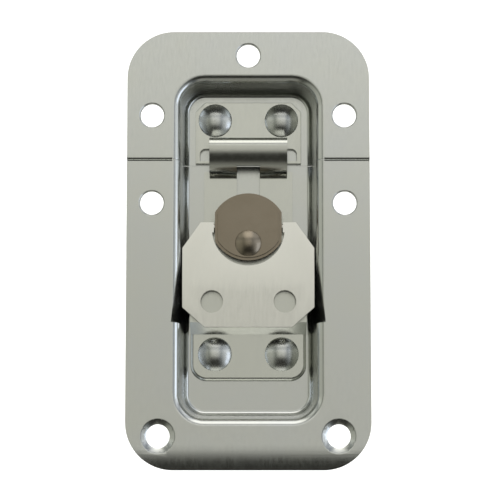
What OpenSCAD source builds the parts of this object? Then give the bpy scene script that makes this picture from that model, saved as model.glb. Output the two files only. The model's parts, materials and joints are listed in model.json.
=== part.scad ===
// Recessed butterfly latch for a case, latched, with its wing folded flat.
// Everything is drawn lying on its back: X across, Y along, heights above the mounting plane.
// The upright() module then stands it on the case wall: front to -Y, top to +Z.

/* [Flange] */
// Width of the flange
flange_w = 62; // [58:0.5:70]
// Length of both flanges together
flange_l = 112; // [108:0.5:124]
// Radius of the four outer corners
flange_corner_r = 12; // [6:0.5:13]
// Thickness of the dish sheet
sheet = 1.2; // [0.8:0.1:1.4]
// Distance from the parting line to the top edge
upper_l = 33.05; // [32:0.05:34]
// Gap between the two dishes in the recess
split_gap = 0.4; // [0.2:0.1:0.8]
// Gap between the two flanges
flange_gap = 1.1; // [0.8:0.1:2]

/* [Screw holes] */
// Diameter of the screw holes
screw_d = 6; // [4:0.1:6.4]
// How far the screws beside the parting line sit in from the middle of the side flange
screw_inward = 0.6; // [0:0.1:1.2]
// Distance along the screws beside the parting line
screw_along = 22.6; // [18:0.1:26]
// Distance of the top screw from the top edge
top_screw_in = 6.2; // [5:0.1:6.8]
// Distance across the bottom screws
low_screw_across = 45.6; // [42:0.1:46]
// Distance of the bottom screws from the bottom edge
low_screw_in = 8.5; // [7:0.1:9.5]
// Diameter of the countersinks of the bottom screws
countersink_d = 9.2; // [7:0.1:9.6]
// Depth of the countersinks
countersink_deep = 0.7; // [0.3:0.1:0.7]
// Chamfer on the edges of the other screw holes
hole_chamfer = 0.3; // [0.1:0.1:0.5]

/* [Recess] */
// Width of the recess where the flange starts to roll in
recess_w = 38.8; // [36:0.2:41]
// Width of the flat flange above and below the recess
end_flange = 10.95; // [10:0.05:12]
// Corner radius of the recess where the flange starts to roll in
recess_corner_r = 8.3; // [7.5:0.1:10]
// Depth from the flange's face to the floor
depth = 12; // [11.5:0.1:16]
// Radius of the rolled lip
lip_r = 2; // [1.6:0.1:2.2]
// Inward lean of the wall from lip to floor
wall_draft = 1; // [0.2:0.1:1.4]
// Inner radius between wall and floor
floor_r = 1.2; // [0.4:0.1:1.6]

/* [Finger reliefs] */
// How far each relief bulges out at its lower end
relief_out = 2.2; // [1.2:0.1:2.8]
// Length of each relief
relief_l = 20.5; // [16:0.5:24]
// Distance from a relief's lower end up to the wing's lower edge
relief_above_edge = 1; // [0:0.1:3]

/* [Wing] */
// Gap between the wing and the wall on each side
wing_side_gap = 0.5; // [0.4:0.1:1.5]
// Share of the floor below the hinge line that the wing covers
wing_share = 0.5476; // [0.53:0.0001:0.57]
// Thickness of the wing
wing_t = 2; // [1.4:0.1:2.2]
// Reach of the arms above the hinge line
arm_over = 1.2; // [1.1:0.1:1.8]
// Reach of the straight arms below the hinge line
arm_under = 1.4; // [1.2:0.1:2]
// Width of each long chamfer beside the arms
wing_top_cut_w = 4.7; // [3:0.1:5.2]
// Length of the long chamfers along the wing
wing_top_cut = 6.6; // [4:0.1:8]
// Width of each corner chamfer at the lower edge
wing_low_cut_w = 5.7; // [3:0.1:7]
// Length of the corner chamfers along the wing
wing_low_cut = 5; // [2:0.1:7]
// Distance from the cut-out down to the bend
bend_below = 4.3; // [2:0.1:6]
// Angle by which the lower part is bent back
bend_deg = 4; // [0:0.5:6]
// Diameter of the two wing holes
wing_hole_d = 5.8; // [3:0.1:7]
// Distance across the wing holes
wing_hole_across = 18.7; // [14:0.1:20]
// Distance of the wing holes from the lower edge
wing_hole_up = 6.5; // [5:0.1:7.5]
// Gap round the cap in the wing's cut-out
cutout_gap = 0.75; // [0.6:0.05:1.2]
// Diameter of the hinge lugs
lug_d = 2; // [1.4:0.1:2.2]
// How far the lugs stand out inside the ears
lug_proud = 0.15; // [0.05:0.05:0.3]

/* [Turn cap] */
// Distance from the hinge line up to the parting line
cap_below_split = 17.05; // [16.5:0.05:18]
// Radius of the cap's round ends
cap_r = 9.9; // [9.2:0.1:10.4]
// Length of the cap over its round ends
cap_l = 17.3; // [15.5:0.1:18]
// Width of the cap over its flats
cap_w = 17.1; // [16.4:0.1:17.6]
// Thickness of the cap's sheet
cap_t = 1.2; // [0.8:0.1:1.4]
// Rounding of the cap's rim
cap_rim = 0.7; // [0.3:0.1:0.8]
// Depth of the cap's face below the flange's face
cap_sunk = 2.6; // [2.2:0.1:3.4]
// Depth of the ears behind the cap's face
ear_l = 3.6; // [3.4:0.1:3.8]
// Length of the ears along the cap
ear_w = 4.6; // [3.4:0.1:5.6]
// Sheet left in the ears behind the hinge holes
ear_skin = 0.45; // [0.4:0.05:0.6]

/* [Hook] */
// Width of the hook plate
hook_w = 23; // [20:0.1:25]
// Thickness of the hook plate
hook_t = 1.5; // [1:0.1:1.8]
// Distance from the ends of the keeper's window to the claw
claw_side_gap = 2.55; // [1:0.05:4]
// Outer radius of the claw's rise
claw_r = 6.7; // [6.3:0.1:7.2]
// Distance from the parting line up to the claw's crest
claw_above_split = 3.15; // [2.9:0.05:3.4]
// Length of the flat crest
crest_l = 0.2; // [0.1:0.1:0.6]
// Outer radius of the claw's turned-in tip
tip_r = 2.2; // [1.8:0.1:2.6]
// Width of the slot and of the notch in the claw
hook_slot_w = 6; // [3:0.1:8]
// Height of the notch in the claw's foot
notch_l = 2.5; // [1:0.1:3]
// Length of the hook plate below the hinge line
hook_below = 12; // [10:0.5:16]
// Eccentricity of the crank
crank_throw = 4.3; // [3.9:0.1:4.6]

/* [Keeper] */
// Flat floor on each side of the keeper plate
keeper_side_gap = 1.4; // [0.6:0.1:2]
// Distance from the upper dish's edge to the keeper plate
keeper_inset = 0.15; // [0.1:0.05:0.5]
// Length of the keeper plate
keeper_l = 16.2; // [15:0.1:17]
// Thickness of the keeper plate and of the base plate
plate_t = 1.5; // [1:0.1:1.6]
// Cut of the keeper's upper corners
keeper_cut = 2.5; // [1:0.1:4]
// Width of the keeper plate beside the window
window_rail = 1.2; // [1:0.1:3]
// Length of the window
window_l = 3.1; // [2.8:0.1:3.4]
// Radius of the window's upper corners
window_r = 1.4; // [0.5:0.1:1.5]
// Width of the strip under the window
strip_w = 0.8; // [0.6:0.1:1]
// How much narrower than the claw the bent-up tongue is
tongue_in = 1; // [0.5:0.1:3]
// Inner radius of the tongue's bend
tongue_bend_r = 0.5; // [0.3:0.1:0.6]
// Height of the tongue over the floor
tongue_h = 3.8; // [3:0.1:4.2]

/* [Base plate] */
// Flat floor on each side of the foot
foot_side_gap = 0.2; // [0.1:0.1:1.5]
// Length of the flat foot
foot_l = 12; // [10.5:0.1:14]
// Corner radius of the foot
foot_r = 4.2; // [2:0.1:5]
// Rounding of the foot's front edge
foot_edge_r = 1; // [0.4:0.1:1.2]
// Length of the sloping step
step_l = 3; // [2:0.1:4]
// Distance from the wing's lower edge up to the platform's lower end
step_under = 1.4; // [0.8:0.1:3]
// Rise of the platform over the floor
platform_rise = 2.8; // [2.8:0.1:3.2]
// Diameter of the platform's round end under the cap
platform_end_d = 17; // [15.5:0.1:19]

/* [Rivets] */
// Diameter of the domed heads
head_d = 9; // [7:0.1:9.6]
// Height of the domed heads
head_h = 1.6; // [1:0.1:2.2]
// Distance across the rivets of each pair
rivet_across = 17.3; // [16.5:0.1:17.8]
// Distance from the parting line up to the keeper's rivets
keeper_rivet_up = 11.75; // [11.7:0.05:12.2]
// Distance of the base rivets from the end of the foot
base_rivet_in = 6.9; // [5.5:0.1:7.5]
// Diameter of the shanks
shank_d = 4; // [3:0.1:5]
// Diameter of the formed tails
tail_d = 6.4; // [5.5:0.1:8]
// Height of the formed tails
tail_h = 1.1; // [0.6:0.1:2]
// Diameter of the crank rivet's head
crank_head_d = 7; // [5:0.1:7.4]
// Height of the crank rivet's head
crank_head_h = 1.4; // [1:0.1:2]
// Diameter of the crank and pivot shanks
crank_d = 3; // [2.4:0.1:3.2]
// Height of the pivot rivet's head
pivot_head_h = 1; // [0.6:0.1:1.2]
// Land between the pivot rivet's head and the crank's hole
pivot_land = 0.35; // [0.3:0.05:0.6]

/* [Clearances] */
// Radial clearance of shanks in their holes
fit = 0.02; // [0.01:0.01:0.1]
// Radial clearance of the hinge lugs in the ears
lug_fit = 0.05; // [0.03:0.01:0.1]
// Clearance between pieces that slide or pass each other
slide = 0.3; // [0.2:0.05:0.4]

/* [Hidden] */
$fn = 64;
zinc = "#c9c8c2";
zinc_dark = "#b9b8b1";
nickel = "#96897a";
over = 1;

// Heights above the mounting plane
floor_z = sheet - depth;
floor_back = floor_z - sheet;
plate_z = floor_z + plate_t;
hook_back = floor_z + slide;
hook_z = hook_back + hook_t;
platform_back = floor_z + platform_rise;
platform_z = platform_back + plate_t;
cap_z = sheet - cap_sunk;
cap_back = cap_z - cap_t;
hinge_z = cap_z - ear_l + lug_d / 2 + lug_fit + ear_skin;
wing_z = hinge_z + wing_t / 2;
bend_z = floor_z + floor_r;

// Places along the latch
split_y = flange_l / 2 - upper_l;
recess_l = flange_l - 2 * end_flange;
floor_in = lip_r + wall_draft + floor_r;
floor_low_y = floor_in - recess_l / 2;
hinge_y = split_y - cap_below_split;
wing_top_y = hinge_y + arm_over;
wing_low_y = hinge_y - wing_share * (hinge_y - floor_low_y);
wing_l = wing_top_y - wing_low_y;
cap_arc_in = cap_r - cap_l / 2;
cutout_r = cap_w / 2 + cutout_gap;
cutout_y = hinge_y - cap_arc_in / 2;
bend_y = cutout_y - cutout_r - bend_below;
relief_low_y = wing_low_y + relief_above_edge;
crank_y = hinge_y - crank_throw;
claw_y = split_y + claw_above_split;
claw_in_r = claw_r - hook_t;
hook_top_y = claw_y - claw_in_r;
tip_in_y = claw_y + crest_l + tip_r - hook_t;
keeper_low_y = split_y + split_gap / 2 + keeper_inset;
keeper_top_y = keeper_low_y + keeper_l;
window_low_y = keeper_low_y + strip_w;
tongue_top_y = tip_in_y - slide;
platform_low_y = wing_low_y + step_under;
foot_top_y = platform_low_y - step_l;
foot_low_y = foot_top_y - foot_l;
keeper_rivet_y = split_y + keeper_rivet_up;
base_rivet_y = foot_low_y + base_rivet_in;

// Widths, from the flange inwards
screw_across = (flange_w + recess_w) / 2 - 2 * screw_inward;
wall_in = recess_w / 2 - lip_r;
floor_w = recess_w - 2 * floor_in;
wing_w = 2 * (wall_in - wing_side_gap);
foot_w = floor_w - 2 * foot_side_gap;
keeper_w = floor_w - 2 * keeper_side_gap;
window_w = keeper_w - 2 * window_rail;
claw_w = window_w - 2 * claw_side_gap;
tongue_w = claw_w - tongue_in;
ear_in = cap_w / 2 - cap_t;
lug_in = ear_in - lug_proud;
rotor_r = lug_in - slide;
pivot_head_d = 2 * (crank_throw - crank_d / 2 - fit - pivot_land);

module upright() {
    translate([0, 0, -split_y])
        rotate([90, 0, 0])
            children();
}

module both_sides(across) {
    for (side = [-1, 1])
        translate([side * across / 2, 0, 0])
            children();
}

module rounded_rect(w, l, r) {
    square([w - 2 * r, l], center = true);
    square([w, l - 2 * r], center = true);
    for (sx = [-1, 1], sy = [-1, 1])
        translate([sx * (w / 2 - r), sy * (l / 2 - r)])
            circle(r);
}

// A plate between two heights, from a flat outline
module plate(low, high) {
    translate([0, 0, low])
        linear_extrude(high - low)
            children();
}

// Quarter of a bent sheet: a ring sector in the quadrant that sx and sy point to
module bend(r_in, r_out, sx, sy) {
    intersection() {
        difference() {
            circle(r_out);
            circle(r_in);
        }
        translate([sx > 0 ? 0 : -r_out, sy > 0 ? 0 : -r_out])
            square(r_out);
    }
}

// Section of the drawn wall, out from a corner's centre: some flange, rolled lip, leaning wall and floor
module wall_section() {
    lip_z = sheet - lip_r;
    top = recess_corner_r - lip_r;
    low = top - wall_draft;
    translate([recess_corner_r, 0])
        square([over, sheet]);
    translate([recess_corner_r, lip_z])
        bend(lip_r - sheet, lip_r, -1, 1);
    polygon([[top, lip_z], [top + sheet, lip_z], [low + sheet, bend_z], [low, bend_z]]);
    translate([low - floor_r, bend_z])
        bend(floor_r, floor_r + sheet, 1, -1);
    translate([0, floor_back])
        square([low - floor_r, sheet]);
}

// One straight wall, of the given length, in the +X direction
module straight_wall(length) {
    rotate([90, 0, 0])
        linear_extrude(length, center = true)
            wall_section();
}

// The drawn pan: four walls, four corners and the floor between them
module pan() {
    half_w = recess_w / 2 - recess_corner_r;
    half_l = recess_l / 2 - recess_corner_r;
    for (turn = [0, 180]) {
        rotate([0, 0, turn])
            translate([half_w, 0, 0])
                straight_wall(2 * half_l);
        rotate([0, 0, turn + 90])
            translate([half_l, 0, 0])
                straight_wall(2 * half_w);
    }
    for (sx = [0, 1], sy = [0, 1])
        mirror([sx, 0, 0])
            mirror([0, sy, 0])
                translate([half_w, half_l, 0])
                    rotate_extrude(angle = 90)
                        wall_section();
    plate(floor_back, floor_z)
        square([2 * half_w, 2 * half_l], center = true);
}

// One finger relief on the right side: a leaning face that runs out of the wall and ends in a step
module relief_wedge(grow, high) {
    lean = relief_out + wall_draft + floor_r / 2;
    inside = lean + floor_r;
    translate([wall_in + relief_out, relief_low_y, 0])
        rotate([0, 0, atan(relief_out / relief_l)])
            translate([grow, relief_l, 0])
                rotate([90, 0, 0])
                    linear_extrude(relief_l + grow)
                        polygon([[-inside, bend_z], [-lean, bend_z], [0, 0], [0, high], [-inside, high]]);
}

// Outside of one finger relief, from the drawn wall outwards
module relief_shell() {
    intersection() {
        relief_wedge(sheet, 0);
        translate([wall_in + (sheet - wall_draft) / 2, -flange_l / 2, floor_z])
            cube([recess_w, flange_l, depth]);
    }
}

module relief_pair() {
    for (side = [0, 1])
        mirror([side, 0, 0])
            children();
}

module screw_places() {
    for (along = [-1, 1])
        translate([0, split_y + along * screw_along / 2, 0])
            both_sides(screw_across)
                children();
    translate([0, flange_l / 2 - top_screw_in, 0])
        children();
}

module low_screw_places() {
    translate([0, low_screw_in - flange_l / 2, 0])
        both_sides(low_screw_across)
            children();
}

// A screw hole through the flange with an edge that opens to the front
module screw_hole(front_d, deep) {
    translate([0, 0, -over])
        cylinder(d = screw_d, h = sheet + 2 * over);
    translate([0, 0, sheet - deep])
        cylinder(d1 = screw_d, d2 = front_d, h = deep);
}

// Both dishes in one piece, before they are parted
module tray() {
    difference() {
        union() {
            plate(0, sheet)
                difference() {
                    rounded_rect(flange_w, flange_l, flange_corner_r);
                    rounded_rect(recess_w, recess_l, recess_corner_r);
                }
            pan();
            relief_pair()
                relief_shell();
        }
        relief_pair()
            relief_wedge(0, sheet + over);
        screw_places()
            screw_hole(screw_d + 2 * hole_chamfer, hole_chamfer);
        low_screw_places()
            screw_hole(countersink_d, countersink_deep);
    }
}

// What the parting takes away from one dish: side is 1 for the upper dish and -1 for the lower one
module parting_cut(side) {
    reach = flange_l;
    far = side * reach / 2;
    translate([0, split_y - far + side * split_gap / 2, 0])
        cube([2 * flange_w, reach, 4 * depth], center = true);
    both_sides(flange_w)
        translate([0, split_y - far + side * flange_gap / 2, 0])
            cube([flange_w - recess_w, reach, 4 * depth], center = true);
}

module rivet_holes(y) {
    translate([0, y, floor_back - over])
        both_sides(rivet_across)
            cylinder(d = shank_d + 2 * fit, h = depth);
}

// A shallow dome that stands on the plane z = 0
module dome(d, h) {
    ball_r = (d * d / 4 + h * h) / (2 * h);
    intersection() {
        translate([0, 0, h - ball_r])
            sphere(ball_r);
        cylinder(d = d, h = h);
    }
}

// A domed rivet through the floor and the plate on it
module floor_rivet() {
    translate([0, 0, plate_z])
        dome(head_d, head_h);
    translate([0, 0, floor_back])
        cylinder(d = shank_d, h = plate_z - floor_back);
    translate([0, 0, floor_back - tail_h])
        cylinder(d = tail_d, h = tail_h);
}

module lower_dish() {
    color(zinc)
        upright()
            difference() {
                tray();
                parting_cut(-1);
                rivet_holes(base_rivet_y);
            }
}

module upper_dish() {
    color(zinc)
        upright()
            difference() {
                tray();
                parting_cut(1);
                rivet_holes(keeper_rivet_y);
            }
}

// The keeper's window, rounded above, out of which the tongue is bent
module window_outline() {
    translate([0, window_low_y + window_l / 2])
        rounded_rect(window_w, window_l, window_r);
    translate([-window_w / 2, window_low_y])
        square([window_w, window_l / 2]);
}

// Side view of the tongue that the claw holds: along the floor, round its bend and forward
module tongue_section() {
    bend_out_r = tongue_bend_r + plate_t;
    bend_mid_y = tongue_top_y - bend_out_r;
    bend_mid_z = floor_z + bend_out_r;
    translate([keeper_low_y, floor_z])
        square([bend_mid_y - keeper_low_y, plate_t]);
    translate([bend_mid_y, bend_mid_z])
        bend(tongue_bend_r, bend_out_r, 1, -1);
    translate([tongue_top_y - plate_t, bend_mid_z])
        square([plate_t, tongue_h - bend_out_r]);
}

module keeper_plate() {
    half = keeper_w / 2;
    color(zinc_dark)
        upright()
            difference() {
                union() {
                    plate(floor_z, plate_z)
                        difference() {
                            polygon([[-half, keeper_low_y], [half, keeper_low_y],
                                     [half, keeper_top_y - keeper_cut],
                                     [half - keeper_cut, keeper_top_y],
                                     [keeper_cut - half, keeper_top_y],
                                     [-half, keeper_top_y - keeper_cut]]);
                            window_outline();
                        }
                    rotate([90, 0, 90])
                        linear_extrude(tongue_w, center = true)
                            tongue_section();
                }
                rivet_holes(keeper_rivet_y);
            }
}

module keeper_rivets() {
    color(zinc)
        upright()
            translate([0, keeper_rivet_y, 0])
                both_sides(rivet_across)
                    floor_rivet();
}

// Half-ring slot that the crank sweeps between latched and open
module crank_sweep() {
    slot_r = crank_d / 2 + slide;
    intersection() {
        difference() {
            circle(crank_throw + slot_r);
            circle(crank_throw - slot_r);
        }
        translate([0, -2 * crank_throw])
            square(4 * crank_throw);
    }
    for (end = [-1, 1])
        translate([0, end * crank_throw])
            circle(slot_r);
}

// The platform narrows from the foot's width to a round end under the cap
module platform_outline() {
    end_r = platform_end_d / 2;
    difference() {
        union() {
            polygon([[-foot_w / 2, platform_low_y], [foot_w / 2, platform_low_y],
                     [foot_w / 2, bend_y], [end_r, hinge_y],
                     [-end_r, hinge_y], [-foot_w / 2, bend_y]]);
            translate([0, hinge_y])
                circle(end_r);
        }
        translate([0, hinge_y]) {
            circle(d = crank_d + 2 * fit);
            crank_sweep();
        }
    }
}

// Flat outline of the foot, drawn in by the given amount except at the step
module foot_outline(inset) {
    w = foot_w - 2 * inset;
    l = foot_l - inset;
    translate([0, foot_top_y - l / 2])
        rounded_rect(w, l, foot_r - inset);
    translate([-w / 2, foot_top_y - l / 2])
        square([w, l / 2]);
}

module foot_edge_section() {
    intersection() {
        circle(foot_edge_r);
        square(foot_edge_r);
    }
}

// The rounded front edge of the foot: along both sides, round the corners and across the end
module foot_edge() {
    edge_z = plate_z - foot_edge_r;
    for (side = [0, 1])
        mirror([side, 0, 0]) {
            translate([foot_w / 2 - foot_edge_r, foot_top_y, edge_z])
                rotate([90, 0, 0])
                    linear_extrude(foot_l - foot_r)
                        foot_edge_section();
            translate([foot_w / 2 - foot_r, foot_low_y + foot_r, edge_z])
                rotate([0, 0, -90])
                    rotate_extrude(angle = 90)
                        translate([foot_r - foot_edge_r, 0])
                            foot_edge_section();
        }
    translate([0, foot_low_y + foot_edge_r, edge_z])
        rotate([90, 0, -90])
            linear_extrude(foot_w - 2 * foot_r, center = true)
                foot_edge_section();
}

module base_plate() {
    color(zinc_dark)
        upright()
            difference() {
                union() {
                    plate(floor_z, plate_z - foot_edge_r)
                        foot_outline(0);
                    plate(floor_z, plate_z)
                        foot_outline(foot_edge_r);
                    foot_edge();
                    rotate([90, 0, 90])
                        linear_extrude(foot_w, center = true)
                            polygon([[foot_top_y, floor_z], [platform_low_y, platform_back],
                                     [platform_low_y, platform_z], [foot_top_y, plate_z]]);
                    plate(platform_back, platform_z)
                        platform_outline();
                }
                rivet_holes(base_rivet_y);
            }
}

module base_rivets() {
    color(zinc)
        upright()
            translate([0, base_rivet_y, 0])
                both_sides(rivet_across)
                    floor_rivet();
}

// Side view of the claw: it sweeps up from the plate to its crest and turns in behind the tongue
module claw_section() {
    tip_y = claw_y + crest_l;
    tip_z = hook_z + claw_r - tip_r;
    tip_low_z = plate_z + slide;
    translate([claw_y, hook_z])
        intersection() {
            difference() {
                circle(claw_r);
                circle(claw_in_r);
            }
            translate([-claw_r, -hook_t])
                square([claw_r, claw_r + hook_t]);
        }
    translate([claw_y, hook_z + claw_in_r])
        square([crest_l, hook_t]);
    translate([tip_y, tip_z])
        bend(tip_r - hook_t, tip_r, 1, 1);
    translate([tip_in_y, tip_low_z])
        square([hook_t, tip_z - tip_low_z]);
}

module hook_plate() {
    slot_low_y = hinge_y + crank_throw + crank_d / 2 + slide;
    cross_w = 2 * crank_throw + crank_d + 2 * slide;
    cross_l = crank_d + 2 * fit;
    hook_low_y = hinge_y - hook_below;
    color(zinc)
        upright()
            difference() {
                union() {
                    plate(hook_back, hook_z)
                        translate([-hook_w / 2, hook_low_y])
                            square([hook_w, hook_top_y - hook_low_y]);
                    rotate([90, 0, 90])
                        linear_extrude(claw_w, center = true)
                            claw_section();
                }
                plate(hook_back - over, sheet)
                    translate([-hook_slot_w / 2, slot_low_y])
                        square([hook_slot_w, claw_y - claw_r + notch_l - slot_low_y]);
                plate(hook_back - over, hook_z + over)
                    translate([-cross_w / 2, crank_y - cross_l / 2])
                        square([cross_w, cross_l]);
            }
}

module rotor() {
    color(nickel)
        upright()
            translate([0, hinge_y, 0])
                difference() {
                    translate([0, 0, platform_z])
                        cylinder(r = rotor_r, h = cap_back - platform_z);
                    translate([0, 0, platform_z - over])
                        cylinder(d = crank_d + 2 * fit, h = depth);
                    translate([0, 0, cap_back - pivot_head_h])
                        cylinder(d = pivot_head_d + 2 * fit, h = depth);
                    translate([0, -crank_throw, platform_z - over])
                        cylinder(d = crank_d + 2 * fit, h = depth);
                }
}

module pivot_rivet() {
    pivot_tail_h = platform_back - hook_z - slide;
    color(zinc)
        upright()
            translate([0, hinge_y, 0]) {
                translate([0, 0, cap_back - pivot_head_h])
                    cylinder(d = pivot_head_d, h = pivot_head_h);
                translate([0, 0, platform_back])
                    cylinder(d = crank_d, h = cap_back - pivot_head_h - platform_back);
                translate([0, 0, platform_back - pivot_tail_h])
                    cylinder(d = pivot_head_d, h = pivot_tail_h);
            }
}

// Cap outline: two round ends cut off by two flats, drawn in by the given amount
module cap_outline(inset) {
    intersection() {
        for_both_ends(inset);
        square([cap_w - 2 * inset, 2 * cap_r], center = true);
    }
}

module for_both_ends(inset) {
    intersection() {
        translate([0, cap_arc_in])
            circle(cap_r - inset);
        translate([0, -cap_arc_in])
            circle(cap_r - inset);
    }
}

module turn_cap() {
    color(nickel)
        upright()
            translate([0, hinge_y, 0])
                difference() {
                    union() {
                        plate(cap_back, cap_z - cap_rim)
                            cap_outline(0);
                        plate(cap_back, cap_z)
                            cap_outline(cap_rim);
                        for (side = [0, 1])
                            mirror([side, 0, 0])
                                translate([ear_in, -ear_w / 2, cap_z - ear_l])
                                    cube([cap_t, ear_w, ear_l - cap_rim]);
                    }
                    translate([0, 0, hinge_z])
                        rotate([0, 90, 0])
                            cylinder(d = lug_d + 2 * lug_fit, h = 2 * cap_w, center = true);
                    translate([0, -crank_throw, cap_back - over])
                        cylinder(d = crank_d + 2 * fit, h = depth);
                }
}

module crank_rivet() {
    color(nickel)
        upright()
            translate([0, crank_y, 0]) {
                translate([0, 0, cap_z])
                    dome(crank_head_d, crank_head_h);
                translate([0, 0, hook_back])
                    cylinder(d = crank_d, h = cap_z - hook_back);
            }
}

// Flat outline of the wing with its cut-out and holes
module wing_outline() {
    half = wing_w / 2;
    half_top = half - wing_top_cut_w;
    half_low = half - wing_low_cut_w;
    arm_in = cap_w / 2 + slide;
    difference() {
        polygon([[-half_top, wing_top_y], [half_top, wing_top_y],
                 [half, wing_top_y - wing_top_cut], [half, wing_low_y + wing_low_cut],
                 [half_low, wing_low_y], [-half_low, wing_low_y],
                 [-half, wing_low_y + wing_low_cut], [-half, wing_top_y - wing_top_cut]]);
        intersection() {
            translate([0, cutout_y])
                circle(cutout_r);
            translate([-cutout_r, hinge_y - arm_under - 2 * cutout_r])
                square(2 * cutout_r);
        }
        translate([-arm_in, hinge_y - 2 * arm_under])
            square([2 * arm_in, wing_l]);
        translate([0, wing_low_y + wing_hole_up])
            both_sides(wing_hole_across)
                circle(d = wing_hole_d);
    }
}

// Side view of the bent sheet of the wing, running past the outline at both ends
module wing_section() {
    far = bend_y - wing_low_y + over;
    drop = far * tan(bend_deg);
    back_z = wing_z - wing_t;
    polygon([[wing_top_y + over, wing_z], [bend_y, wing_z],
             [bend_y - far, wing_z - drop],
             [bend_y - far, wing_z - drop - wing_t / cos(bend_deg)],
             [bend_y + wing_t * tan(bend_deg / 2), back_z], [wing_top_y + over, back_z]]);
}

module wing() {
    lug_l = cutout_r + lug_d / 2 - lug_in;
    color(zinc)
        upright() {
            intersection() {
                plate(floor_z, sheet)
                    wing_outline();
                rotate([90, 0, 90])
                    linear_extrude(2 * wing_w, center = true)
                        wing_section();
            }
            for (side = [0, 1])
                mirror([side, 0, 0])
                    translate([lug_in, hinge_y, hinge_z])
                        rotate([0, 90, 0])
                            cylinder(d = lug_d, h = lug_l);
        }
}

lower_dish();
upper_dish();
keeper_plate();
keeper_rivets();
base_plate();
base_rivets();
hook_plate();
rotor();
pivot_rivet();
turn_cap();
crank_rivet();
wing();
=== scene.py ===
"""Recessed butterfly latch: finished copies of its plated pieces, and a small photo stage."""

import json
import math

import bpy
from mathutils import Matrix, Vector

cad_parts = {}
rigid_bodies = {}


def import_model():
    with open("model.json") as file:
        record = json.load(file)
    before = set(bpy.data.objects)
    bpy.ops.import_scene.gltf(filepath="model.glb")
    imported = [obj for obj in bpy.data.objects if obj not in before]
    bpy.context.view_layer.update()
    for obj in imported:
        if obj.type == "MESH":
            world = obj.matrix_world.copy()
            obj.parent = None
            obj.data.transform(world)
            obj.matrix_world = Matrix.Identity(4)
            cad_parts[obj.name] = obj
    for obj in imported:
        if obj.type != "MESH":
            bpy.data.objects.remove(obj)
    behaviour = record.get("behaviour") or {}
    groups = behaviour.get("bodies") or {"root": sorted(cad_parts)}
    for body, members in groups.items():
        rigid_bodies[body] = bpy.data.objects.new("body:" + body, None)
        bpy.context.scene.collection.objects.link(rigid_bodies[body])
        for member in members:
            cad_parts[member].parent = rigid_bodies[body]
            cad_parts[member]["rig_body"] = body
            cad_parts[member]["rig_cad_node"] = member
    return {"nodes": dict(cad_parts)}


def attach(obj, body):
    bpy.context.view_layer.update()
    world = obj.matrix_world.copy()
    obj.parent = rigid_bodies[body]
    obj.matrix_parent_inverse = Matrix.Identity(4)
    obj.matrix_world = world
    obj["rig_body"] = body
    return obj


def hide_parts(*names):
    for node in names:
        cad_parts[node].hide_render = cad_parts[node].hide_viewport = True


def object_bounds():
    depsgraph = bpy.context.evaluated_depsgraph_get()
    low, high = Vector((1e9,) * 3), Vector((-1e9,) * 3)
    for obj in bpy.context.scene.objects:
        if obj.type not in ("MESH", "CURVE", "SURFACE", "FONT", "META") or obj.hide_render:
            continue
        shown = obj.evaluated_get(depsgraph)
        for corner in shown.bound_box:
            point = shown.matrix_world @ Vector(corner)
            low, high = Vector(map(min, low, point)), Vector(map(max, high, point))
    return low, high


bl_info = {
    "name": "Recessed Case Latch",
    "version": (1, 0, 0),
    "blender": (4, 5, 0),
    "location": "View3D > Sidebar > Latch",
    "description": "Dresses a recessed butterfly latch in plated finishes and lights it",
    "category": "Object",
}

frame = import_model()
CAD_BOX = [list(corner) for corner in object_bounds()]
MM = 0.001

# Points this close are merged, and points this close to a plane count as on it
MERGE = 0.002 * MM
CLOSE = 0.02 * MM

# Faces that turn less than this make one flat
FLAT_ANGLE = math.radians(0.4)

# A face whose normal has a height below this looks down
LOOKS_DOWN = -0.95

# Heights of the claw's foot and crest over the parting line
CLAW_FOOT = -3.55 * MM
CLAW_CREST = 3.15 * MM

# Cuts across the flange's rolled low edge, and round its turned parting edge
ROLL_STRIPS = 8
TURN_STRIPS = 6

# Heights of the lid half's parting edge, in the recess and on the flange,
# and how far from the centre line the flange's part starts
PROFILE_EDGE = 0.2 * MM
FLANGE_EDGE = 0.55 * MM
LIP_END = 19.45 * MM

# Sockets of a Mix node that mixes colours
MIX_SHARE, MIX_FIRST, MIX_SECOND, MIX_RESULT = 0, 6, 7, 2

# How far the grain takes the roughness down and up
GLOSS_DOWN, GLOSS_UP = 0.03, 0.05

# Grain of plates stamped from rolled strip
STRIP_GRAIN = {"grain_mm": 0.5, "grain_stretch": (1, 1, 0.12), "bump_mm": 0.03}

# The photograph's frame, in pixels: its side, and the flange's width and middle in it
PHOTO_SIDE = 500
FLANGE_PIXELS = 244.1
FLANGE_MIDDLE = (248.3, 248.3)

# Nearest and farthest things that the camera sees, in metres
CLIP_NEAR, CLIP_FAR = 0.01, 20

# The backdrop in metres: front and back, width and height, its curve, and its drop below the latch
BACKDROP_FRONT, BACKDROP_BACK = -2.0, 0.6
BACKDROP_WIDTH, BACKDROP_HEIGHT = 6, 2.0
BACKDROP_CURVE = 0.25
BACKDROP_DROP = 60 * MM

# The light tent's colours from below to above and from left to right, as places from -1 to 1
# with sRGB hex. The dim rings on the way draw the lips and the walls.
TENT_HEIGHT = (
    (-1.0, "#8C8C86"), (-0.06, "#D0D0CB"), (0.1, "#CACAC5"), (0.2, "#E9E9E4"),
    (0.3, "#FFFFFF"), (0.44, "#94979A"), (0.6, "#EEEEEC"), (1.0, "#FFFFFF"))
TENT_SIDES = (
    (-1.0, "#DFE1DA"), (-0.6, "#DADCD5"), (-0.42, "#727870"), (-0.26, "#F0F0EA"),
    (0.26, "#FFFFFF"), (0.42, "#848E9A"), (0.58, "#F4F8FF"), (1.0, "#F4F8FF"))

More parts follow.
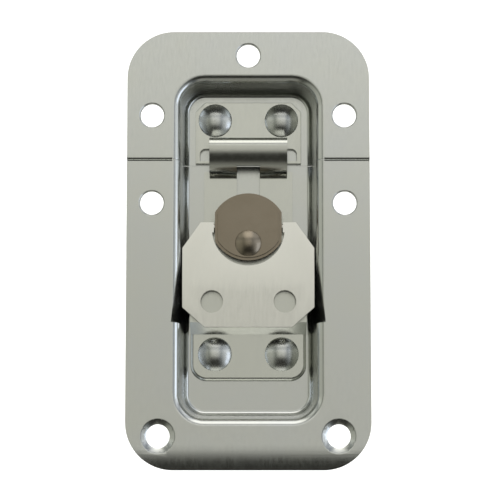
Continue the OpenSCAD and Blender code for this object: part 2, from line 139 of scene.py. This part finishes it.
# The dark opening low in front of the tent. Each edge fades along one way between two places,
# and has the opening's share at both.
OPENING_COLOUR = "#2E2E2A"
OPENING_EDGES = (
    ("aside", 0.25, 0.6, 1.0, 0.0),
    ("up", -0.35, -0.02, 1.0, 0.0),
    ("up", -0.95, -0.7, 0.0, 1.0),
    ("back", 0.0, 0.3, 1.0, 0.0))


def linear(code):
    """An sRGB hex colour as linear RGBA."""
    channels = [int(code[i:i + 2], 16) / 255 for i in (1, 3, 5)]
    return [c / 12.92 if c <= 0.04045 else ((c + 0.055) / 1.055) ** 2.4 for c in channels] + [1.0]


def per_mm(size_mm):
    """Texture scale that gives features of about this many millimetres on Object coordinates."""
    return 1 / (size_mm * MM)


def add_node(tree, kind, inputs=None, **settings):
    """Adds a node with its settings, and sets or links its inputs."""
    node = tree.nodes.new(kind)
    for name, value in settings.items():
        setattr(node, name, value)
    for name, value in (inputs or {}).items():
        if isinstance(value, bpy.types.NodeSocket):
            tree.links.new(value, node.inputs[name])
        else:
            node.inputs[name].default_value = value
    return node


class LatchFinish(bpy.types.PropertyGroup):
    """Colours and gloss of the plated pieces"""

    zinc_colour: bpy.props.StringProperty(
        name="Zinc", description="Colour of the plated sheet, as sRGB hex", default="#CBCCC5")
    zinc_tint: bpy.props.StringProperty(
        name="Passivate tint", description="Cool tint of the passivated film, as sRGB hex",
        default="#C8CACA")
    wing_colour: bpy.props.StringProperty(
        name="Wing", description="Colour of the polished wing, as sRGB hex", default="#EDECE6")
    nickel_colour: bpy.props.StringProperty(
        name="Nickel", description="Colour of the turn cap, as sRGB hex", default="#958B7C")
    nickel_dark: bpy.props.StringProperty(
        name="Nickel shade", description="Darker patches of the turn cap, as sRGB hex",
        default="#877D6D")
    dish_roughness: bpy.props.FloatProperty(
        name="Dish roughness", description="Roughness of the drawn dishes",
        default=0.2, min=0, max=1)
    plate_roughness: bpy.props.FloatProperty(
        name="Plate roughness", description="Roughness of the stamped plates",
        default=0.22, min=0, max=1)
    rivet_roughness: bpy.props.FloatProperty(
        name="Rivet roughness", description="Roughness of the domed heads",
        default=0.25, min=0, max=1)
    cap_roughness: bpy.props.FloatProperty(
        name="Cap roughness", description="Roughness of the turn cap",
        default=0.3, min=0, max=1)


class LatchEdges(bpy.types.PropertyGroup):
    """Edges of the stamped and drawn pieces: broken, drawn out, rolled back and turned over"""

    dish_edge: bpy.props.FloatProperty(
        name="Dish edge", description="Width of the broken edges of the dishes, in metres",
        default=0.2 * MM, subtype="DISTANCE")
    plate_edge: bpy.props.FloatProperty(
        name="Plate edge", description="Width of the broken edges of the plates, in metres",
        default=0.25 * MM, subtype="DISTANCE")
    rivet_edge: bpy.props.FloatProperty(
        name="Rivet edge", description="Width of the broken edges of the rivets, in metres",
        default=0.25 * MM, subtype="DISTANCE")
    sharp_angle: bpy.props.FloatProperty(
        name="Sharp angle", description="Edges sharper than this are broken",
        default=math.radians(28), subtype="ANGLE")
    claw_lift: bpy.props.FloatProperty(
        name="Claw lift", description="How far the claw's crest is drawn up, in metres",
        default=0.9 * MM, subtype="DISTANCE")
    roll_width: bpy.props.FloatProperty(
        name="Low roll", description="Height of the flange's low strip that rolls back, in metres",
        default=6.4 * MM, subtype="DISTANCE")
    roll_angle: bpy.props.FloatProperty(
        name="Low roll angle", description="How far the low edge leans back",
        default=math.radians(14), subtype="ANGLE")
    profile_drop: bpy.props.FloatProperty(
        name="Recess parting",
        description="How far the lid half's edge is drawn down in the recess, in metres",
        default=0.25 * MM, subtype="DISTANCE")
    flange_drop: bpy.props.FloatProperty(
        name="Flange parting",
        description="How far the lid half's edge is drawn down on the flange, in metres",
        default=0.95 * MM, subtype="DISTANCE")
    turn_radius: bpy.props.FloatProperty(
        name="Parting turn",
        description="Radius of the flange's edge at the parting line, in metres",
        default=0.85 * MM, subtype="DISTANCE")


class LatchStage(bpy.types.PropertyGroup):
    """Camera, lights and backdrop"""

    distance: bpy.props.FloatProperty(
        name="Camera distance", description="From the flange to the camera",
        default=0.45, subtype="DISTANCE")
    below: bpy.props.FloatProperty(
        name="Camera below", description="How far the camera looks up from below",
        default=math.radians(6.0), subtype="ANGLE")
    tent_strength: bpy.props.FloatProperty(
        name="Light tent", description="Strength of the soft light all round", default=1.2, min=0)
    key_power: bpy.props.FloatProperty(
        name="Key light", description="Power of the soft light above the front",
        default=0.8, subtype="POWER")
    fill_power: bpy.props.FloatProperty(
        name="Cool light", description="Power of the cool light on the right",
        default=0.8, subtype="POWER")
    backdrop_colour: bpy.props.StringProperty(
        name="Backdrop", description="Colour of floor and backdrop, as sRGB hex", default="#FAFAF9")
    backdrop_glow: bpy.props.FloatProperty(
        name="Backdrop glow", description="Light of the backdrop itself", default=0.45, min=0)


def clear_selection(kind):
    """Deselects all faces or edges of the active piece, and picks them as what is selected next."""
    bpy.ops.object.mode_set(mode="EDIT")
    bpy.ops.mesh.select_mode(type=kind)
    bpy.ops.mesh.select_all(action="DESELECT")
    bpy.ops.object.mode_set(mode="OBJECT")


def select_faces(piece, wanted):
    """Selects the faces that a test wants, and stays in edit mode."""
    clear_selection("FACE")
    for face in piece.data.polygons:
        face.select = wanted(face)
    bpy.ops.object.mode_set(mode="EDIT")


def select_edges(piece, wanted):
    """Selects the edges with both ends where a test wants them, and stays in edit mode."""
    clear_selection("EDGE")
    for edge in piece.data.edges:
        edge.select = all(wanted(piece.data.vertices[i].co) for i in edge.vertices)
    bpy.ops.object.mode_set(mode="EDIT")


def raise_claw(piece):
    """Draws the claw's rise out a little, so that its crest stands as high as the real one."""
    edges = bpy.context.scene.latch_edges
    for vertex in piece.data.vertices:
        share = (vertex.co.z - CLAW_FOOT) / (CLAW_CREST - CLAW_FOOT)
        vertex.co.z += edges.claw_lift * min(max(share, 0), 1)


def roll_low_edge(piece):
    """Rolls the flange's low edge back a little, as the draw of the dish leaves it."""
    edges = bpy.context.scene.latch_edges
    start = CAD_BOX[0][2] + edges.roll_width
    bpy.ops.object.mode_set(mode="EDIT")
    for strip in range(ROLL_STRIPS):
        height = start - edges.roll_width * strip / ROLL_STRIPS
        bpy.ops.mesh.select_all(action="SELECT")
        bpy.ops.mesh.bisect(plane_co=(0, 0, height), plane_no=(0, 0, 1))
    bpy.ops.object.mode_set(mode="OBJECT")
    # A curve that starts level with the flange and leans by the whole angle at the edge
    for vertex in piece.data.vertices:
        below = max(start - vertex.co.z, 0)
        vertex.co.y += below ** 2 * math.tan(edges.roll_angle) / (2 * edges.roll_width)


def turn_parting_edge(piece):
    """Draws the lid half's parting edge down to the case half, and turns its flange's edge over."""
    edges = bpy.context.scene.latch_edges

    def on_profile(face):
        return face.normal.z < LOOKS_DOWN and abs(face.center.z - PROFILE_EDGE) < CLOSE

    def on_flange(face):
        return face.normal.z < LOOKS_DOWN and abs(face.center.z - FLANGE_EDGE) < CLOSE

    def past_lip(face):
        return on_flange(face) and abs(face.center.x) > LIP_END

    def on_front(end):
        return abs(end.z - low) < CLOSE and abs(end.y - front) < CLOSE

    select_faces(piece, on_profile)
    bpy.ops.mesh.extrude_region_move(
        TRANSFORM_OT_translate={"value": (0, 0, -edges.profile_drop)})
    for side in (-1, 1):
        select_faces(piece, on_flange)
        bpy.ops.mesh.bisect(
            plane_co=(side * LIP_END, 0, 0), plane_no=(1, 0, 0), threshold=MERGE)
    select_faces(piece, past_lip)
    bpy.ops.mesh.extrude_region_move(
        TRANSFORM_OT_translate={"value": (0, 0, -edges.flange_drop)})
    low, front = FLANGE_EDGE - edges.flange_drop, CAD_BOX[0][1]
    select_edges(piece, on_front)
    bpy.ops.mesh.bevel(offset=edges.turn_radius, segments=TURN_STRIPS, profile=0.5)
    bpy.ops.object.mode_set(mode="OBJECT")


# Nodes whose finished copy gets more than broken edges
SHAPES = {"hook_plate": raise_claw, "lower_dish": roll_low_edge, "upper_dish": turn_parting_edge}


def soften(node_name, width):
    """A finished copy of a CAD node: merged, with its sharp edges broken and smooth faces."""
    edges = bpy.context.scene.latch_edges
    source = frame["nodes"][node_name]
    piece = source.copy()
    piece.data = source.data.copy()
    piece.name = f"{node_name}_finished"
    piece.parent = None
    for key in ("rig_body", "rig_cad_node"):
        if key in piece:
            del piece[key]
    bpy.context.scene.collection.objects.link(piece)
    bpy.ops.object.select_all(action="DESELECT")
    bpy.context.view_layer.objects.active = piece
    piece.select_set(True)
    bpy.ops.mesh.customdata_custom_splitnormals_clear()
    bpy.ops.object.mode_set(mode="EDIT")
    bpy.ops.mesh.select_all(action="SELECT")
    bpy.ops.mesh.remove_doubles(threshold=MERGE)
    bpy.ops.mesh.dissolve_limited(angle_limit=FLAT_ANGLE)
    if node_name in SHAPES:
        bpy.ops.object.mode_set(mode="OBJECT")
        SHAPES[node_name](piece)
        bpy.ops.object.mode_set(mode="EDIT")
    bpy.ops.mesh.select_all(action="DESELECT")
    bpy.ops.mesh.select_mode(type="EDGE")
    bpy.ops.mesh.edges_select_sharp(sharpness=edges.sharp_angle)
    bpy.ops.mesh.bevel(offset=width, segments=2, profile=0.5, clamp_overlap=True)
    bpy.ops.object.mode_set(mode="OBJECT")
    bpy.ops.object.shade_smooth_by_angle(angle=edges.sharp_angle)
    flats = piece.modifiers.new("even_flats", "WEIGHTED_NORMAL")
    flats.keep_sharp = True
    flats.weight = 100
    bpy.ops.object.modifier_apply(modifier=flats.name)
    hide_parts(node_name)
    return piece


def dress(node_name, width, material, body):
    """Softens a node, gives it a finish and lets it ride on its body."""
    piece = soften(node_name, width)
    piece.data.materials.clear()
    piece.data.materials.append(material)
    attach(piece, body)


def new_material(name):
    """A material and its node tree, which is empty."""
    material = bpy.data.materials.new(name)
    material.use_nodes = True
    tree = material.node_tree
    tree.nodes.clear()
    return material, tree


def plated_metal(name, colour, roughness, grain_mm, grain_stretch, bump_mm,
                 tint=None, cloud_mm=None):
    """A plated metal: a stretched grain in gloss and bump, and clouds of a tint if it has one."""
    material, tree = new_material(name)
    place = add_node(tree, "ShaderNodeTexCoord").outputs["Object"]
    base = linear(colour)
    if tint:
        clouds = add_node(tree, "ShaderNodeTexNoise", {
            "Vector": place, "Scale": per_mm(cloud_mm), "Detail": 3.0, "Roughness": 0.55})
        base = add_node(tree, "ShaderNodeMix", {
            MIX_SHARE: clouds.outputs["Fac"], MIX_FIRST: linear(colour), MIX_SECOND: linear(tint)},
            data_type="RGBA").outputs[MIX_RESULT]
    # The real grain is too fine to show, so it is drawn coarser, at about half a millimetre
    along = add_node(tree, "ShaderNodeMapping", {"Vector": place, "Scale": grain_stretch})
    grain = add_node(tree, "ShaderNodeTexNoise", {
        "Vector": along.outputs["Vector"], "Scale": per_mm(grain_mm),
        "Detail": 4.0, "Roughness": 0.6})
    gloss = add_node(tree, "ShaderNodeMapRange", {
        "Value": grain.outputs["Fac"], "From Min": 0.3, "From Max": 0.7,
        "To Min": roughness - GLOSS_DOWN, "To Max": roughness + GLOSS_UP})
    bump = add_node(tree, "ShaderNodeBump", {
        "Height": grain.outputs["Fac"], "Strength": 0.12, "Distance": bump_mm * MM})
    shader = add_node(tree, "ShaderNodeBsdfPrincipled", {
        "Base Color": base, "Metallic": 1.0,
        "Roughness": gloss.outputs["Result"], "Normal": bump.outputs["Normal"]})
    add_node(tree, "ShaderNodeOutputMaterial", {"Surface": shader.outputs["BSDF"]})
    return material


def drawn_zinc():
    """Zinc-plated steel, deep drawn: satin, with faint clouds of the clear passivate film."""
    finish = bpy.context.scene.latch_finish
    return plated_metal(
        "zinc_plated_drawn_steel", finish.zinc_colour, finish.dish_roughness,
        grain_mm=0.6, grain_stretch=(1, 1, 0.25), bump_mm=0.03,
        tint=finish.zinc_tint, cloud_mm=14)


def stamped_zinc():
    """Zinc-plated steel, stamped from rolled strip: satin, with a grain along the strip."""
    finish = bpy.context.scene.latch_finish
    return plated_metal(
        "zinc_plated_stamped_steel", finish.zinc_colour, finish.plate_roughness, **STRIP_GRAIN)


def polished_zinc():
    """Zinc-plated steel, stamped and barrel polished: a shade lighter than the plates around it."""
    finish = bpy.context.scene.latch_finish
    return plated_metal(
        "zinc_plated_polished_steel", finish.wing_colour, finish.plate_roughness, **STRIP_GRAIN)


def headed_zinc():
    """Zinc-plated steel, cold headed: the die leaves the domes bright and smooth."""
    finish = bpy.context.scene.latch_finish
    return plated_metal(
        "zinc_plated_headed_steel", finish.zinc_colour, finish.rivet_roughness,
        grain_mm=0.5, grain_stretch=(1, 1, 1), bump_mm=0.01,
        tint=finish.zinc_tint, cloud_mm=4)


def brown_nickel():
    """Nickel-plated steel, tumbled: a warm brown-grey sheen with soft patches."""
    finish = bpy.context.scene.latch_finish
    return plated_metal(
        "nickel_plated_tumbled_steel", finish.nickel_colour, finish.cap_roughness,
        grain_mm=0.35, grain_stretch=(1, 1, 0.6), bump_mm=0.02,
        tint=finish.nickel_dark, cloud_mm=5)


class LATCH_OT_dishes(bpy.types.Operator):
    """Finishes the two drawn dishes"""

    bl_idname = "latch.dishes"
    bl_label = "Dishes"

    def execute(self, context):
        material = drawn_zinc()
        for name in ("lower_dish", "upper_dish"):
            dress(name, context.scene.latch_edges.dish_edge, material, "root")
        return {"FINISHED"}


class LATCH_OT_plates(bpy.types.Operator):
    """Finishes the stamped plates inside the recess and the wing"""

    bl_idname = "latch.plates"
    bl_label = "Plates and wing"

    def execute(self, context):
        edge = context.scene.latch_edges.plate_edge
        material = stamped_zinc()
        for name in ("keeper_plate", "base_plate", "hook_plate"):
            dress(name, edge, material, "root")
        dress("wing", edge, polished_zinc(), "wing")
        return {"FINISHED"}


class LATCH_OT_rivets(bpy.types.Operator):
    """Finishes the domed rivets of keeper and foot, and the hidden pivot"""

    bl_idname = "latch.rivets"
    bl_label = "Rivets"

    def execute(self, context):
        material = headed_zinc()
        for name in ("keeper_rivets", "base_rivets", "pivot_rivet"):
            dress(name, context.scene.latch_edges.rivet_edge, material, "root")
        return {"FINISHED"}


class LATCH_OT_cap(bpy.types.Operator):
    """Finishes the turn cap, its crank rivet and the rotor below"""

    bl_idname = "latch.cap"
    bl_label = "Turn cap"

    def execute(self, context):
        material = brown_nickel()
        for name in ("turn_cap", "crank_rivet", "rotor"):
            dress(name, context.scene.latch_edges.plate_edge, material, "root")
        return {"FINISHED"}


def flange_middle():
    """Middle of the flange, on its front face."""
    low, high = (Vector(corner) for corner in CAD_BOX)
    return Vector(((low.x + high.x) / 2, low.y, (low.z + high.z) / 2))


def add_area_light(name, place, size, power, colour):
    """A soft rectangular light that faces the flange."""
    bpy.ops.object.light_add(type="AREA", location=place)
    light = bpy.context.object
    light.name = name
    light.data.shape = "RECTANGLE"
    light.data.size, light.data.size_y = size
    light.data.energy = power
    light.data.color = linear(colour)[:3]
    light.rotation_euler = (flange_middle() - Vector(place)).to_track_quat("-Z", "Y").to_euler()


def add_camera(stage):
    """The photograph's view: square to the flange, from a little below."""
    low, high = (Vector(corner) for corner in CAD_BOX)
    pixel = (high.x - low.x) / FLANGE_PIXELS
    right, up = PHOTO_SIDE / 2 - FLANGE_MIDDLE[0], FLANGE_MIDDLE[1] - PHOTO_SIDE / 2
    aim = flange_middle() + Vector((right, 0, up)) * pixel
    away = Vector((0, -math.cos(stage.below), -math.sin(stage.below))) * stage.distance
    bpy.ops.object.camera_add(location=aim + away)
    camera = bpy.context.object
    camera.name = "photo_camera"
    camera.rotation_euler = (-away).to_track_quat("-Z", "Y").to_euler()
    camera.data.lens = camera.data.sensor_width * stage.distance / (PHOTO_SIDE * pixel)
    camera.data.clip_start = CLIP_NEAR
    camera.data.clip_end = CLIP_FAR
    bpy.context.scene.camera = camera


def add_backdrop(stage):
    """A pale floor that curves up into a backdrop well behind the latch."""
    floor = CAD_BOX[0][2] - BACKDROP_DROP

    def at_back(end):
        return end.y > BACKDROP_BACK - MM

    def in_corner(end):
        return at_back(end) and end.z < floor + MM

    bpy.ops.object.select_all(action="DESELECT")
    bpy.ops.mesh.primitive_plane_add(
        size=1, location=(0, (BACKDROP_FRONT + BACKDROP_BACK) / 2, floor))
    backdrop = bpy.context.object
    backdrop.name = "pale_backdrop"
    backdrop.scale = (BACKDROP_WIDTH, BACKDROP_BACK - BACKDROP_FRONT, 1)
    bpy.ops.object.transform_apply(location=True, rotation=True, scale=True)
    select_edges(backdrop, at_back)
    bpy.ops.mesh.extrude_region_move(TRANSFORM_OT_translate={"value": (0, 0, BACKDROP_HEIGHT)})
    select_edges(backdrop, in_corner)
    bpy.ops.mesh.bevel(offset=BACKDROP_CURVE, segments=12)
    bpy.ops.object.mode_set(mode="OBJECT")
    bpy.ops.object.shade_smooth()
    material, tree = new_material("matt_backdrop_paper")
    paper = linear(stage.backdrop_colour)
    shader = add_node(tree, "ShaderNodeBsdfPrincipled", {
        "Base Color": paper, "Roughness": 0.9,
        "Emission Color": paper, "Emission Strength": stage.backdrop_glow})
    add_node(tree, "ShaderNodeOutputMaterial", {"Surface": shader.outputs["BSDF"]})
    backdrop.data.materials.append(material)
    backdrop.visible_glossy = False


def add_ramp(tree, value, stops):
    """A colour ramp over a value from -1 to 1, with its stops given as (place, sRGB hex)."""
    share = add_node(tree, "ShaderNodeMapRange", {
        "Value": value, "From Min": -1.0, "From Max": 1.0})
    ramp = add_node(tree, "ShaderNodeValToRGB", {"Fac": share.outputs["Result"]})
    elements = ramp.color_ramp.elements
    while len(elements) < len(stops):
        elements.new(1.0)
    for element, (at, code) in zip(elements, stops):
        element.position = (at + 1) / 2
        element.color = linear(code)
    return ramp.outputs["Color"]


def add_world(stage):
    """A light tent: pale, cooler on the right, with dim rings and a dark opening low in front."""
    world = bpy.data.worlds.new("light_tent")
    bpy.context.scene.world = world
    world.use_nodes = True
    tree = world.node_tree
    tree.nodes.clear()
    direction = add_node(tree, "ShaderNodeTexCoord").outputs["Generated"]
    axes = add_node(tree, "ShaderNodeSeparateXYZ", {"Vector": direction}).outputs
    aside = add_node(tree, "ShaderNodeMath", {0: axes["X"]}, operation="ABSOLUTE")
    ways = {"aside": aside.outputs["Value"], "up": axes["Z"], "back": axes["Y"]}
    tent = add_node(tree, "ShaderNodeMix", {
        MIX_SHARE: 1.0, MIX_FIRST: add_ramp(tree, axes["Z"], TENT_HEIGHT),
        MIX_SECOND: add_ramp(tree, axes["X"], TENT_SIDES)},
        data_type="RGBA", blend_type="MULTIPLY").outputs[MIX_RESULT]
    opening = 1.0
    for way, first, last, first_share, last_share in OPENING_EDGES:
        edge = add_node(tree, "ShaderNodeMapRange", {
            "Value": ways[way], "From Min": first, "From Max": last,
            "To Min": first_share, "To Max": last_share}, interpolation_type="SMOOTHSTEP")
        opening = add_node(tree, "ShaderNodeMath", {
            0: opening, 1: edge.outputs["Result"]}, operation="MULTIPLY").outputs["Value"]
    seen = add_node(tree, "ShaderNodeMix", {
        MIX_SHARE: opening, MIX_FIRST: tent, MIX_SECOND: linear(OPENING_COLOUR)},
        data_type="RGBA").outputs[MIX_RESULT]
    sky = add_node(tree, "ShaderNodeBackground", {"Color": seen, "Strength": stage.tent_strength})
    add_node(tree, "ShaderNodeOutputWorld", {"Surface": sky.outputs["Background"]})


class LATCH_OT_stage(bpy.types.Operator):
    """Adds the camera, the light tent, the soft lights and the pale backdrop"""

    bl_idname = "latch.stage"
    bl_label = "Stage"

    def execute(self, context):
        stage = context.scene.latch_stage
        # The default view transform turns the white backdrop grey
        context.scene.view_settings.view_transform = "Standard"
        add_camera(stage)
        add_backdrop(stage)
        add_world(stage)
        add_area_light("key_above", place=(0.0, -0.4, 0.6), size=(0.8, 0.5),
                       power=stage.key_power, colour="#FFFDF8")
        add_area_light("cool_right", place=(0.6, -0.3, -0.2), size=(0.3, 0.6),
                       power=stage.fill_power, colour="#DCE8FF")
        return {"FINISHED"}


class LATCH_PT_sidebar(bpy.types.Panel):
    """Steps and sizes of the latch"""

    bl_label = "Recessed latch"
    bl_idname = "LATCH_PT_sidebar"
    bl_space_type = "VIEW_3D"
    bl_region_type = "UI"
    bl_category = "Latch"

    def draw(self, context):
        for step in STEPS:
            self.layout.operator(step.bl_idname)
        for group_name, group in GROUPS.items():
            for name in group.__annotations__:
                self.layout.prop(getattr(context.scene, group_name), name)


STEPS = (LATCH_OT_dishes, LATCH_OT_plates, LATCH_OT_rivets, LATCH_OT_cap, LATCH_OT_stage)
GROUPS = {"latch_finish": LatchFinish, "latch_edges": LatchEdges, "latch_stage": LatchStage}
CLASSES = (*GROUPS.values(), *STEPS, LATCH_PT_sidebar)


def register():
    for cls in CLASSES:
        bpy.utils.register_class(cls)
    for name, group in GROUPS.items():
        setattr(bpy.types.Scene, name, bpy.props.PointerProperty(type=group))


def unregister():
    for name in GROUPS:
        delattr(bpy.types.Scene, name)
    for cls in reversed(CLASSES):
        bpy.utils.unregister_class(cls)


def main():
    register()
    bpy.ops.latch.dishes()
    bpy.ops.latch.plates()
    bpy.ops.latch.rivets()
    bpy.ops.latch.cap()
    bpy.ops.latch.stage()


if __name__ == "__main__":
    main()
